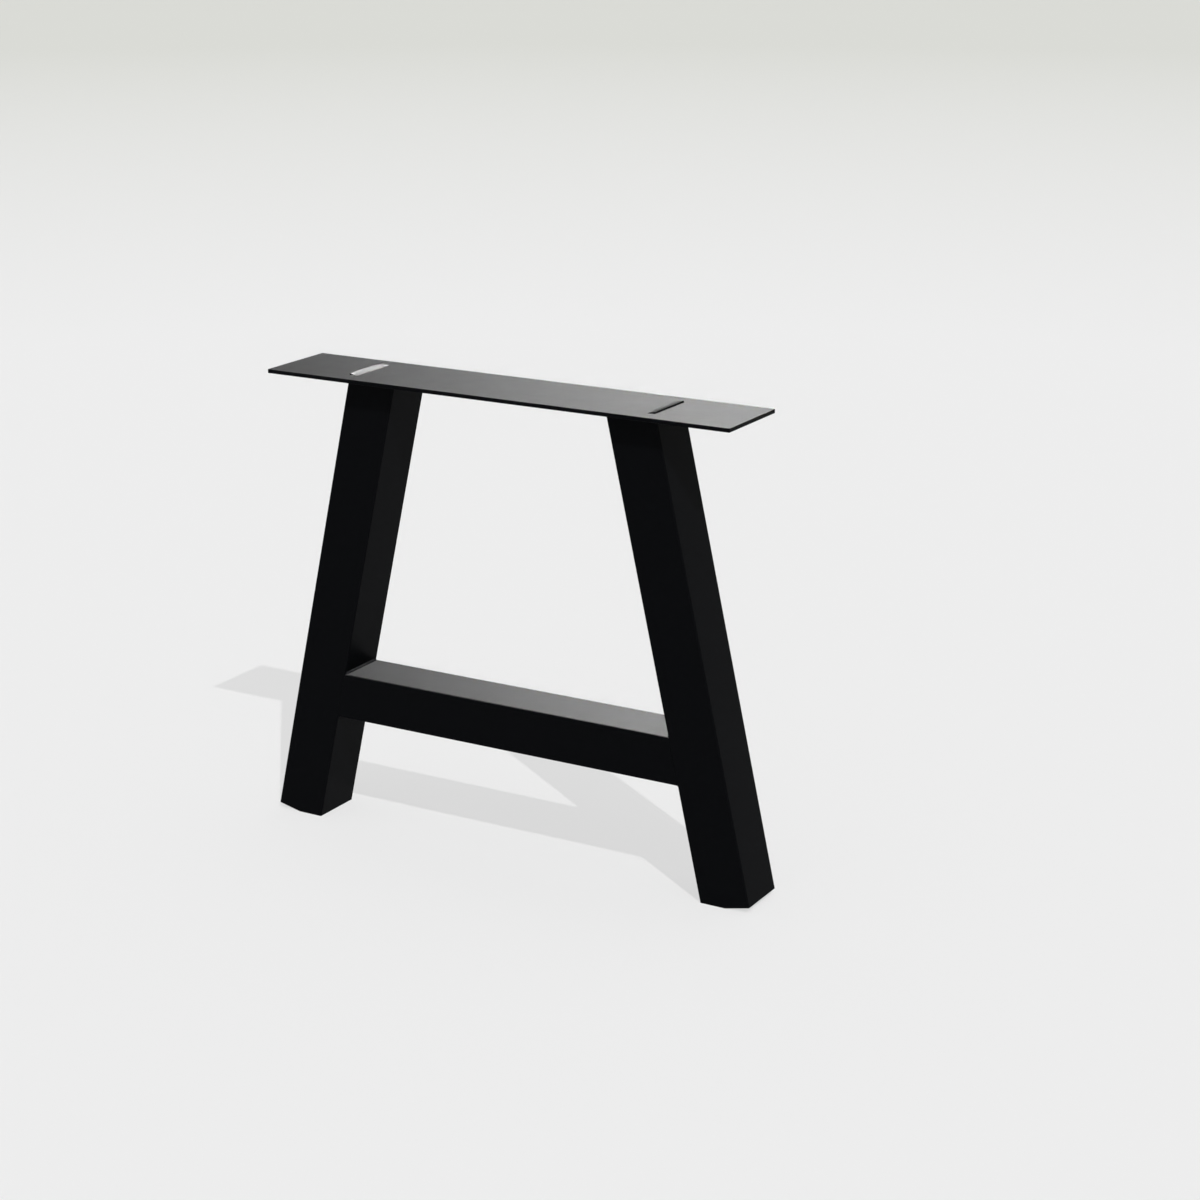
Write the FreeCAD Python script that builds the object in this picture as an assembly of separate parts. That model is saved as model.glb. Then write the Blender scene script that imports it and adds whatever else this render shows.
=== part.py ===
import FreeCAD, Part
import math
import os
from FreeCAD import Placement, Rotation, Vector

# Trestle table leg: an A-frame of welded box section under a flat plate
# Millimetres, +Z up, origin on the floor midway between the feet, X along the plate

# Stance
overall_height = 720.0  # floor to the plate's upper face
foot_spacing = 760.0  # between the leg centrelines at the floor
head_spacing = 440.0  # between the leg centrelines at the plate's underside

# Top plate
plate_length = 780.0
plate_width = 140.0
plate_thickness = 6.0
plate_corner_radius = 1.5
plate_edge_radius = 0.6

# Box sections
leg_width = 80.0  # across the front, square to the leg
frame_depth = 85.0  # front to back, shared so that legs and crossbar are flush
crossbar_height = 72.0
crossbar_centre = 210.0  # above the floor
wall = 3.0
corner_radius = 2.0
inner_corner_radius = 1.0

# Closing plate in each foot
foot_cap_thickness = 4.0
foot_cap_clearance = 0.2  # all round, inside the tube

# Tongue on each leg's head, which stands up through the plate
tongue_thickness = 12.9
tongue_rise = 2.75  # at its outer edge, above the plate's upper face
tongue_corner_radius = 1.0
slot_clearance = 0.3

# Welds
head_weld_leg = 4.0
crossbar_weld_leg = 3.0
weld_root = 0.5  # how far the head weld's toe starts inside the leg's face
groove_setback = 0.2  # the groove weld lies this far below the flush faces
groove_fill = 0.6  # share of the corner radius that the groove weld reaches down

# What follows from the sizes above
seat_height = overall_height - plate_thickness
lean = math.atan2((foot_spacing - head_spacing) / 2, seat_height)
leg_blank = math.hypot(seat_height, foot_spacing) + leg_width
crossbar_top = crossbar_centre + crossbar_height / 2
crossbar_bottom = crossbar_centre - crossbar_height / 2


# Where a plane parallel to the right leg, offset outwards from its centreline, is at a height
def leg_face_x(offset, height):
    return foot_spacing / 2 - height * math.tan(lean) + offset / math.cos(lean)


# Closed outline with rounded corners, centred on a point in a level plane
def rounded_outline(width, depth, radius, centre):
    hub_x = width / 2 - radius
    hub_y = depth / 2 - radius
    arcs = []
    for quarter, (side_x, side_y) in enumerate(((1, 1), (-1, 1), (-1, -1), (1, -1))):
        hub = centre + Vector(side_x * hub_x, side_y * hub_y, 0)
        arcs.append(Part.makeCircle(radius, hub, Vector(0, 0, 1), 90 * quarter, 90 * quarter + 90))
    edges = []
    for arc, following in zip(arcs, arcs[1:] + arcs[:1]):
        edges.append(arc)
        edges.append(Part.makeLine(arc.lastVertex().Point, following.firstVertex().Point))
    return Part.Wire(edges)


# Upright solid bar of rounded section
def prism(width, depth, radius, low, high):
    outline = rounded_outline(width, depth, radius, Vector(0, 0, low))
    return Part.Face(outline).extrude(Vector(0, 0, high - low))


# Upright length of box section
def box_section(width, low, high):
    outside = prism(width, frame_depth, corner_radius, low, high)
    inside = prism(width - 2 * wall, frame_depth - 2 * wall, inner_corner_radius, low, high)
    return outside.cut(inside)


# Bar along Y, centred, with the section given in X and Z
def bar_along_y(section, length):
    points = [Vector(x, -length / 2, z) for x, z in section]
    outline = Part.makePolygon(points + points[:1])
    return Part.Face(outline).extrude(Vector(0, length, 0))


# Everything between two heights
def slab(low, high):
    span = 2 * (foot_spacing + plate_length)
    return Part.makeBox(span, span, high - low, Vector(-span / 2, -span / 2, low))


# Upright piece set on the right foot's centre and leaned in along the right leg
def leaned(upright):
    inwards = Rotation(Vector(0, 1, 0), -math.degrees(lean))
    piece = upright.copy()
    piece.Placement = Placement(Vector(foot_spacing / 2, 0, 0), inwards)
    return piece


def mirrored_x(piece):
    return piece.mirror(Vector(0, 0, 0), Vector(1, 0, 0))


def mirrored_y(piece):
    return piece.mirror(Vector(0, 0, 0), Vector(0, 1, 0))


# Edges of a piece that run along Z
def upright_edges(piece):
    return [edge for edge in piece.Edges if abs(edge.tangentAt(edge.FirstParameter).z) > 0.999]


# Outside of the right leg as one solid, longer than the leg at both ends
def leg_envelope():
    return leaned(prism(leg_width, frame_depth, corner_radius, -leg_width, leg_blank))


# The tube is cut square through the foot's centre, then level at the floor and under the plate
def leg():
    return leaned(box_section(leg_width, 0, leg_blank)).common(slab(0, seat_height))


# Bar that stands on the leg's outer wall and fills the plate's slot, with a top that slopes inwards
def tongue():
    outer = leg_face_x(leg_width / 2, overall_height)
    inner = outer - tongue_thickness
    section = (
        (inner, seat_height),
        (outer, seat_height),
        (outer, overall_height + tongue_rise),
        (inner, overall_height),
    )
    bar = bar_along_y(section, frame_depth)
    return bar.makeFillet(tongue_corner_radius, upright_edges(bar))


# Room inside the foot, less the cap's clearance, above a closing plate of the given thickness
def foot_room(thickness):
    width = leg_width - 2 * (wall + foot_cap_clearance)
    depth = frame_depth - 2 * (wall + foot_cap_clearance)
    core = prism(width, depth, inner_corner_radius, thickness, leg_width)
    return leaned(core).common(slab(thickness, leg_width))


# Plate folded to the foot's two planes
def foot_cap():
    return foot_room(0).cut(foot_room(foot_cap_thickness))


# The tongue's slot, clear of it all round
def tongue_slot():
    outer = leg_face_x(leg_width / 2, overall_height) + slot_clearance
    width = tongue_thickness + 2 * slot_clearance
    depth = frame_depth + 2 * slot_clearance
    slot = prism(width, depth, tongue_corner_radius + slot_clearance, seat_height, overall_height)
    slot.translate(Vector(outer - width / 2, 0, 0))
    return slot


def top_plate():
    blank = prism(plate_length, plate_width, plate_corner_radius, seat_height, overall_height)
    rims = [edge for edge in blank.Edges if abs(edge.tangentAt(edge.FirstParameter).z) < 0.001]
    plate = blank.makeFillet(plate_edge_radius, rims)
    return plate.cut(tongue_slot()).cut(mirrored_x(tongue_slot()))


# The crossbar runs between the inner faces of the legs
def crossbar():
    bar = box_section(crossbar_height, -foot_spacing / 2, foot_spacing / 2)
    bar.rotate(Vector(0, 0, 0), Vector(0, 1, 0), 90)
    bar.translate(Vector(0, 0, crossbar_centre))
    corner = Vector(-leg_width / 2, -frame_depth, -leg_width)
    beyond = leaned(Part.makeBox(foot_spacing, 2 * frame_depth, leg_blank, corner))
    return bar.cut(beyond).cut(mirrored_x(beyond))


# Fillet all round the leg's head, against the plate's underside
def head_weld():
    outlines = []
    for height, grow in ((seat_height - head_weld_leg, -weld_root), (seat_height, head_weld_leg)):
        width = leg_width / math.cos(lean) + 2 * grow
        depth = frame_depth + 2 * grow
        radius = corner_radius + max(grow, 0)
        outlines.append(rounded_outline(width, depth, radius, Vector(leg_face_x(0, height), 0, height)))
    return Part.makeLoft(outlines, True, True).cut(leg_envelope())


# Fillet across the crossbar's upper face, up the leg, or its lower face, down the leg
def crossbar_fillet(height, up):
    root = leg_face_x(-leg_width / 2, height)
    on_bar = (root - crossbar_weld_leg, height)
    on_leg = (
        root - up * crossbar_weld_leg * math.sin(lean),
        height + up * crossbar_weld_leg * math.cos(lean),
    )
    return bar_along_y(((root, height), on_bar, on_leg), frame_depth - 2 * corner_radius)


# Weld in the groove that the leg's rounded edge leaves beside the crossbar's front face
def groove_weld():
    depth = groove_fill * corner_radius - groove_setback
    corner = Vector(-leg_width / 2, groove_setback - frame_depth / 2, 0)
    strip = leaned(Part.makeBox(corner_radius, depth, leg_blank, corner))
    beside_bar = slab(crossbar_bottom + corner_radius, crossbar_top - corner_radius)
    return strip.common(beside_bar).cut(leg_envelope())


def crossbar_weld():
    front = groove_weld()
    return Part.makeCompound(
        [crossbar_fillet(crossbar_top, 1), crossbar_fillet(crossbar_bottom, -1), front, mirrored_y(front)]
    )


# Every piece by name, with the paired ones made on the right and mirrored to the left
pieces = {"top_plate": top_plate(), "crossbar": crossbar()}
paired = {
    "leg": leg,
    "tongue": tongue,
    "foot_cap": foot_cap,
    "head_weld": head_weld,
    "crossbar_weld": crossbar_weld,
}
for name, make in paired.items():
    piece = make()
    pieces["right_" + name] = piece
    pieces["left_" + name] = mirrored_x(piece)

os.makedirs("parts", exist_ok=True)
for name, piece in pieces.items():
    piece.exportStep("parts/" + name + ".step")
    print(name, len(piece.Solids), "solid, volume", round(piece.Volume), "valid", piece.isValid())
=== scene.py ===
import math

import bmesh
import bpy
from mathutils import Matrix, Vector


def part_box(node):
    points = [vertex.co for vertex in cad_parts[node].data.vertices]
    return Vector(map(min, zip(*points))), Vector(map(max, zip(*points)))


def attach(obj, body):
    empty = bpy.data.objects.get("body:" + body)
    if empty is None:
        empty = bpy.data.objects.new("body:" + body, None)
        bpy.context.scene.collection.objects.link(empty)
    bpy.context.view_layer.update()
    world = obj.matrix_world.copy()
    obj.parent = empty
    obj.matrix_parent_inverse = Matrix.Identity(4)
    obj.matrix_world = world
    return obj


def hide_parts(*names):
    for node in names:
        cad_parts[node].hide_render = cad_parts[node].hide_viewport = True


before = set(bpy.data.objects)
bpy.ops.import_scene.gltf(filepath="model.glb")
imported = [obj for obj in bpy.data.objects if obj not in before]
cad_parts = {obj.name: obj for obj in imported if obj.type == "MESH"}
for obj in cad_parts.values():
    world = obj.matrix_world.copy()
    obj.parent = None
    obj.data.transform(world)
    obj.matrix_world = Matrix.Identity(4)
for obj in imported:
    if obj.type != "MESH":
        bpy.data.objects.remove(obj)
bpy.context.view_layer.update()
scene = bpy.context.scene
scene.view_settings.view_transform = "Standard"
print("frame loaded,", len(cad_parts), "CAD nodes")

# how the right leg stands, measured on the frame
legLow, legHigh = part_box("right_leg")
barLow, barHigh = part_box("crossbar")
plateLow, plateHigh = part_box("top_plate")
# the tongue's outer side is where the leg's outer face, carried on, reaches the plate's top
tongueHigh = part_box("right_tongue")[1]
tubeDepth = legHigh.y - legLow.y
lean = math.atan2(barHigh.x - legLow.x, plateLow.z - barLow.z)
tubeCorner = 0.002  # outer corner radius of the box section


# how far out the leg's inner face is at a height
def innerFace(height):
    return legLow.x + (plateLow.z - height) * math.tan(lean)


tubeAcross = tongueHigh.x - innerFace(plateHigh.z)  # the leg's width, measured level
tubeWidth = tubeAcross * math.cos(lean)
print("leg", round(tubeWidth, 5), "by", round(tubeDepth, 5), "leans", round(math.degrees(lean), 3))

nodeGrid = {"across": 220, "down": 200}  # spacing in the node editor


def newNode(tree, kind, column, row, **settings):
    node = tree.nodes.new(kind)
    node.location = (nodeGrid["across"] * column, -nodeGrid["down"] * row)
    for name, value in settings.items():
        setattr(node, name, value)
    return node


# sockets by name, each given a link or a fixed value
def feed(tree, node, **links):
    for name, value in links.items():
        socket = node.inputs[name.replace("_", " ")]
        if isinstance(value, bpy.types.NodeSocket):
            tree.links.new(value, socket)
        else:
            socket.default_value = value
    return node


# satin black powder coat: orange peel over a fine grain, slightly uneven gloss
coat = {
    "shadeDeep": (0.0022, 0.0024, 0.0029, 1),
    "shadeThin": (0.0034, 0.0037, 0.0045, 1),
    "glossSmooth": 0.335,
    "glossRough": 0.360,
    "ior": 1.065,
    "peel": {"size": 0.0017, "detail": 1.5, "breakup": 0.4},
    "peelDepth": 0.000060,
    "grain": {"size": 0.00045, "detail": 1.0, "breakup": 0.5},
    "grainDepth": 0.000008,
    "patch": {"size": 0.035, "detail": 4.0, "breakup": 0.6},
    "noiseLow": 0.3,  # most of the noise lies between these two
    "noiseHigh": 0.7,
    "edgeRound": 0.0004,  # the coat flows round cut edges
    "edgeSamples": 6,
}


def coatNoise(tree, place, row, pattern):
    noise = newNode(tree, "ShaderNodeTexNoise", 1, row)
    feed(tree, noise, Vector=place, Scale=1 / pattern["size"])
    feed(tree, noise, Detail=pattern["detail"], Roughness=pattern["breakup"])
    return noise.outputs["Fac"]


def powderCoat(name):
    material = bpy.data.materials.new(name)
    material.use_nodes = True
    tree = material.node_tree
    tree.nodes.clear()
    place = newNode(tree, "ShaderNodeTexCoord", 0, 1).outputs["Object"]
    patch = coatNoise(tree, place, 0, coat["patch"])
    peel = coatNoise(tree, place, 1, coat["peel"])
    grain = coatNoise(tree, place, 2, coat["grain"])
    gloss = feed(tree, newNode(tree, "ShaderNodeMapRange", 2, 0), Value=patch,
                 From_Min=coat["noiseLow"], From_Max=coat["noiseHigh"],
                 To_Min=coat["glossSmooth"], To_Max=coat["glossRough"])
    shade = feed(tree, newNode(tree, "ShaderNodeValToRGB", 2, 1), Fac=peel)
    deep, thin = shade.color_ramp.elements
    deep.position = coat["noiseLow"]
    deep.color = coat["shadeDeep"]
    thin.position = coat["noiseHigh"]
    thin.color = coat["shadeThin"]
    edge = feed(tree, newNode(tree, "ShaderNodeBevel", 2, 3, samples=coat["edgeSamples"]),
                Radius=coat["edgeRound"])
    peelBump = feed(tree, newNode(tree, "ShaderNodeBump", 3, 1), Height=peel,
                    Distance=coat["peelDepth"], Normal=edge.outputs["Normal"])
    grainBump = feed(tree, newNode(tree, "ShaderNodeBump", 4, 2), Height=grain,
                     Distance=coat["grainDepth"], Normal=peelBump.outputs["Normal"])
    surface = feed(tree, newNode(tree, "ShaderNodeBsdfPrincipled", 5, 0),
                   Base_Color=shade.outputs["Color"], Roughness=gloss.outputs["Result"],
                   Normal=grainBump.outputs["Normal"], IOR=coat["ior"])
    feed(tree, newNode(tree, "ShaderNodeOutputMaterial", 6, 0), Surface=surface.outputs["BSDF"])
    return material


blackCoat = powderCoat("blackPowderCoat")
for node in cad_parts.values():
    node.data.materials.clear()
    node.data.materials.append(blackCoat)
print("powder coat on every CAD node")


# closed rings of points, joined one to the next into one skin, with flat ends unless it runs in a loop
def skinRings(mesh, rings, loop):
    rows = [[mesh.verts.new(point) for point in ring] for ring in rings]
    follow = rows[1:] + rows[:1] if loop else rows[1:]
    for row, nextRow in zip(rows, follow):
        for i in range(len(row)):
            j = (i + 1) % len(row)
            mesh.faces.new((row[i], row[j], nextRow[j], nextRow[i]))
    if not loop:
        mesh.faces.new(rows[0])
        mesh.faces.new(rows[-1])


# section of a bead that fills the corner at root: crowned from one toe to the other
def beadSection(root, toeA, toeB, crown, wave, count):
    out = ((toeA + toeB) / 2 - root).normalized()
    ring = []
    for i in range(count):
        t = i / (count - 1)
        swell = 4 * t * (1 - t)  # none at the toes, full in the middle
        ring.append(toeA.lerp(toeB, t) + out * swell * (crown + wave(t)))
    return ring + [root.copy()]


# one solidified pool of the bead after another, each edge bowed back like a crescent
pool = {
    "bow": 0.45,  # how far its edge trails at the toes, in pool lengths
    "sharpness": 0.75,  # lower is fuller between the edges
    "sunk": 0.5,  # share of its height that lies below the plain crown
}


def pools(distance, length, height):
    def wave(t):
        turn = distance / length + pool["bow"] * (2 * t - 1) ** 2
        return height * (abs(math.sin(math.pi * turn)) ** pool["sharpness"] - pool["sunk"])
    return wave


creaseAngle = 50  # degrees, a bead's blunter edges are shaded smooth


def finishBead(name, mesh, side, cadNode):
    bmesh.ops.scale(mesh, vec=(side, 1, 1), verts=mesh.verts)
    bmesh.ops.recalc_face_normals(mesh, faces=mesh.faces)
    data = bpy.data.meshes.new(name)
    mesh.to_mesh(data)
    mesh.free()
    for polygon in data.polygons:
        polygon.use_smooth = True
    data.set_sharp_from_angle(angle=math.radians(creaseAngle))
    data.materials.append(blackCoat)
    bead = bpy.data.objects.new(name, data)
    scene.collection.objects.link(bead)
    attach(bead, "root")
    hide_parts(cadNode)


# weld bead round each leg's head, in the corner under the plate
headBead = {
    "toe": 0.0040,
    "crown": 0.00035,
    "poolLength": 0.0027,
    "poolHeight": 0.00034,
    "stepsPerPool": 8,
    "sectionPoints": 9,
}


# point and outward direction at a distance along a rounded rectangle
def roundedRectangle(halfWidth, halfDepth, radius, distance):
    corners = ((1, 1), (-1, 1), (-1, -1), (1, -1))
    arc = math.pi * radius / 2
    straights = (2 * (halfWidth - radius), 2 * (halfDepth - radius)) * 2
    for i, (sideX, sideY) in enumerate(corners):
        hub = Vector((sideX * (halfWidth - radius), sideY * (halfDepth - radius), 0))
        start = math.pi / 2 * i
        if distance <= arc:
            angle = start + distance / radius
            out = Vector((math.cos(angle), math.sin(angle), 0))
            return hub + out * radius, out
        distance -= arc
        if distance <= straights[i]:
            angle = start + math.pi / 2
            out = Vector((math.cos(angle), math.sin(angle), 0))
            along = Vector((-math.sin(angle), math.cos(angle), 0))
            return hub + out * radius + along * distance, out
        distance -= straights[i]


def weldHead(name, side, cadNode):
    halfWidth = tubeAcross / 2
    halfDepth = tubeDepth / 2
    around = 4 * (halfWidth + halfDepth - 2 * tubeCorner) + 2 * math.pi * tubeCorner
    poolCount = round(around / headBead["poolLength"])
    steps = poolCount * headBead["stepsPerPool"]
    centre = Vector((legLow.x + halfWidth, 0, plateLow.z))
    down = Vector((math.tan(lean), 0, -1)) * headBead["toe"]
    rings = []
    for i in range(steps):
        distance = around * i / steps
        edge, out = roundedRectangle(halfWidth, halfDepth, tubeCorner, distance)
        root = centre + edge
        wave = pools(distance, around / poolCount, headBead["poolHeight"])
        rings.append(beadSection(root, root + down, root + out * headBead["toe"],
                                 headBead["crown"], wave, headBead["sectionPoints"]))
    mesh = bmesh.new()
    skinRings(mesh, rings, True)
    finishBead(name, mesh, side, cadNode)


weldHead("rightHeadBead", 1, "right_head_weld")
weldHead("leftHeadBead", -1, "left_head_weld")
print("head beads done")


# beads above and below each end of the crossbar, and the flush fill down its front and back
barBead = {
    "toe": 0.0030,
    "crown": 0.00025,
    "poolLength": 0.0023,
    "poolHeight": 0.00026,
    "stepsPerPool": 8,
    "sectionPoints": 8,
    "endTaper": 0.0025,
    "endShare": 0.35,  # how much of its size is left at its very end
    "fillSetback": 0.0002,
    "fillDepth": 0.0010,
    "fillArcSteps": 4,
    "fillSteps": 24,
}


def runBead(mesh, height, up):
    length = tubeDepth - 2 * tubeCorner
    poolCount = round(length / barBead["poolLength"])
    steps = poolCount * barBead["stepsPerPool"]
    onBar = Vector((-1, 0, 0))
    onLeg = Vector((-up * math.sin(lean), 0, up * math.cos(lean)))
    rings = []
    for i in range(steps + 1):
        distance = length * i / steps
        root = Vector((innerFace(height), distance - length / 2, height))
        toEnd = min(distance, length - distance) / barBead["endTaper"]
        rounded = math.sqrt(1 - (1 - min(toEnd, 1)) ** 2)  # the bead starts and stops rounded
        full = barBead["endShare"] + (1 - barBead["endShare"]) * rounded
        toe = barBead["toe"] * full
        wave = pools(distance, length / poolCount, barBead["poolHeight"] * full)
        rings.append(beadSection(root, root + onLeg * toe, root + onBar * toe,
                                 barBead["crown"] * full, wave, barBead["sectionPoints"]))
    skinRings(mesh, rings, False)


# front is 1 for the groove at the front and -1 for the one at the back
def fillGroove(mesh, front):
    halfWidth = tubeWidth / 2
    halfDepth = tubeDepth / 2
    footCentre = innerFace(0) + tubeAcross / 2
    shallow = halfDepth - barBead["fillSetback"]
    deep = shallow - barBead["fillDepth"]
    section = [(-halfWidth, deep), (-halfWidth, shallow)]
    for i in range(barBead["fillArcSteps"] + 1):
        depth = shallow + (deep - shallow) * i / barBead["fillArcSteps"]
        reach = math.sqrt(tubeCorner ** 2 - (depth - halfDepth + tubeCorner) ** 2)
        section.append((tubeCorner - halfWidth - reach, depth))
    low = barLow.z + tubeCorner
    high = barHigh.z - tubeCorner
    rings = []
    for i in range(barBead["fillSteps"] + 1):
        height = low + (high - low) * i / barBead["fillSteps"]
        ring = []
        for across, depth in section:
            upLeg = (height - across * math.sin(lean)) / math.cos(lean)
            x = footCentre + across * math.cos(lean) - upLeg * math.sin(lean)
            ring.append(Vector((x, -depth * front, height)))
        rings.append(ring)
    skinRings(mesh, rings, False)


def weldCrossbarEnd(name, side, cadNode):
    mesh = bmesh.new()
    runBead(mesh, barHigh.z, 1)
    runBead(mesh, barLow.z, -1)
    fillGroove(mesh, 1)
    fillGroove(mesh, -1)
    finishBead(name, mesh, side, cadNode)


weldCrossbarEnd("rightCrossbarBead", 1, "right_crossbar_weld")
weldCrossbarEnd("leftCrossbarBead", -1, "left_crossbar_weld")
print("crossbar beads done")


# wide pale floor with painted shade that greys it a little behind the work
ground = {
    "reach": 60.0,
    "segments": 4,
    "drop": 0.0002,  # keeps it clear of the feet
    # the near tone is the floor's own colour, the far one is painted shade
    "tones": (  # distance from the work, colour
        (4.2, (0.847, 0.847, 0.847, 1)),
        (14.0, (0.701, 0.708, 0.672, 1)),
    ),
    "ownLevel": 0.72,  # share of the tone that no shadow reaches
}


# the tone goes by distance from the work, darker further out as painted shade, and whatever looks at
# it sees most of it unshaded
def floorPaint():
    material = bpy.data.materials.new("palePaint")
    material.use_nodes = True
    tree = material.node_tree
    tree.nodes.clear()
    place = newNode(tree, "ShaderNodeTexCoord", 0, 0).outputs["Object"]
    far = newNode(tree, "ShaderNodeVectorMath", 1, 0, operation="LENGTH")
    tree.links.new(place, far.inputs[0])
    fade = feed(tree, newNode(tree, "ShaderNodeMapRange", 2, 0), Value=far.outputs["Value"],
                From_Max=ground["reach"])
    tone = feed(tree, newNode(tree, "ShaderNodeValToRGB", 3, 0), Fac=fade.outputs["Result"])
    # painted shade: the tone darkens with distance from the work
    for stop, (distance, colour) in zip(tone.color_ramp.elements, ground["tones"]):
        stop.position = distance / ground["reach"]
        stop.color = colour
    painted = feed(tree, newNode(tree, "ShaderNodeBsdfDiffuse", 4, 0), Color=tone.outputs["Color"])
    pale = feed(tree, newNode(tree, "ShaderNodeEmission", 4, 1), Color=tone.outputs["Color"],
                Strength=1.0)
    ray = newNode(tree, "ShaderNodeLightPath", 2, 2)
    seen = ray.outputs["Is Camera Ray"]
    for i, kind in enumerate(("Is Glossy Ray", "Is Transmission Ray")):
        either = newNode(tree, "ShaderNodeMath", 3 + i, 2, operation="MAXIMUM")
        tree.links.new(seen, either.inputs[0])
        tree.links.new(ray.outputs[kind], either.inputs[1])
        seen = either.outputs["Value"]
    share = newNode(tree, "ShaderNodeMath", 5, 2, operation="MULTIPLY")
    tree.links.new(seen, share.inputs[0])
    share.inputs[1].default_value = ground["ownLevel"]
    surface = feed(tree, newNode(tree, "ShaderNodeMixShader", 5, 0), Fac=share.outputs["Value"])
    tree.links.new(painted.outputs["BSDF"], surface.inputs[1])
    tree.links.new(pale.outputs["Emission"], surface.inputs[2])
    feed(tree, newNode(tree, "ShaderNodeOutputMaterial", 6, 0), Surface=surface.outputs["Shader"])
    return material


def makeFloor():
    mesh = bmesh.new()
    bmesh.ops.create_grid(mesh, x_segments=ground["segments"], y_segments=ground["segments"],
                          size=ground["reach"])
    data = bpy.data.meshes.new("floor")
    mesh.to_mesh(data)
    mesh.free()
    data.materials.append(floorPaint())
    floor = bpy.data.objects.new("floor", data)
    floor.location.z = -ground["drop"]
    scene.collection.objects.link(floor)


makeFloor()
print("floor done")

# soft light from overhead, dim lower down, with a pale wall along the floor's far edge
softLight = {
    "levels": (  # upward part of the direction, colour
        (0.10, (0.701, 0.708, 0.672, 1)),
        (0.20, (0.180, 0.180, 0.180, 1)),
        (0.25, (0.180, 0.180, 0.180, 1)),
        (0.75, (0.610, 0.610, 0.610, 1)),
    ),
}


def makeSky():
    world = bpy.data.worlds.new("studio")
    scene.world = world
    world.use_nodes = True
    tree = world.node_tree
    tree.nodes.clear()
    direction = newNode(tree, "ShaderNodeTexCoord", 0, 0).outputs["Generated"]
    split = feed(tree, newNode(tree, "ShaderNodeSeparateXYZ", 1, 0), Vector=direction)
    level = feed(tree, newNode(tree, "ShaderNodeValToRGB", 2, 0), Fac=split.outputs["Z"])
    stops = level.color_ramp.elements
    while len(stops) < len(softLight["levels"]):
        stops.new(0.5)  # its own place comes below
    for stop, (height, colour) in zip(stops, softLight["levels"]):
        stop.position = height
        stop.color = colour
    light = feed(tree, newNode(tree, "ShaderNodeBackground", 3, 0), Color=level.outputs["Color"])
    feed(tree, newNode(tree, "ShaderNodeOutputWorld", 4, 0), Surface=light.outputs["Background"])


makeSky()
print("sky done")

# key from the front right, a rear light for the sheen, a soft top and a soft ring
# all but the key give gloss alone
lamps = {
    "key": {"towards": (0.501, -0.456, 0.735), "strength": 2.15, "spread": 0.4, "glossOnly": False},
    "rear": {"towards": (-0.363, 0.801, 0.476), "strength": 3.7, "spread": 17.5, "glossOnly": True},
    "top": {"towards": (0.0, 0.0, 1.0), "strength": 6.0, "spread": 36.0, "glossOnly": True},
}
lampRing = {"count": 6, "firstTurn": 2.0, "upward": 0.71, "strength": 6.0, "spread": 36.0}
outward = math.sqrt(1 - lampRing["upward"] ** 2)
for i in range(lampRing["count"]):
    turn = math.radians(lampRing["firstTurn"] + 360 * i / lampRing["count"])
    lamps["ring" + str(i)] = {
        "towards": (-outward * math.sin(turn), outward * math.cos(turn), lampRing["upward"]),
        "strength": lampRing["strength"],
        "spread": lampRing["spread"],
        "glossOnly": True,
    }
lampDistance = 4.0  # only for the viewport, a sun shines the same from anywhere
for name, lamp in lamps.items():
    light = bpy.data.lights.new(name, "SUN")
    light.energy = lamp["strength"]
    light.angle = math.radians(lamp["spread"])
    holder = bpy.data.objects.new(name, light)
    towards = Vector(lamp["towards"])
    holder.location = towards * lampDistance
    holder.rotation_euler = towards.to_track_quat("Z", "Y").to_euler()
    holder.visible_diffuse = not lamp["glossOnly"]
    # a gloss lamp goes without these two, so that nothing shades it
    light.use_shadow = not lamp["glossOnly"]
    light.cycles.use_multiple_importance_sampling = not lamp["glossOnly"]
    scene.collection.objects.link(holder)
print("lights done")

# long lens from the front right, looking down a little
shot = {
    "place": (1.9563, -3.1346, 1.5287),
    "aim": (-0.0007, 0.2546, 0.3308),
    "lens": 77.82,
    "sensor": 36.0,
    "sight": 200.0,  # how far it sees, past the floor's far edge
}
camera = bpy.data.cameras.new("camera")
camera.lens = shot["lens"]
camera.sensor_width = shot["sensor"]
camera.clip_end = shot["sight"]
cameraHolder = bpy.data.objects.new("camera", camera)
cameraHolder.location = shot["place"]
looking = Vector(shot["aim"]) - Vector(shot["place"])
cameraHolder.rotation_euler = looking.to_track_quat("-Z", "Y").to_euler()
scene.collection.objects.link(cameraHolder)
scene.camera = cameraHolder
print("camera done")
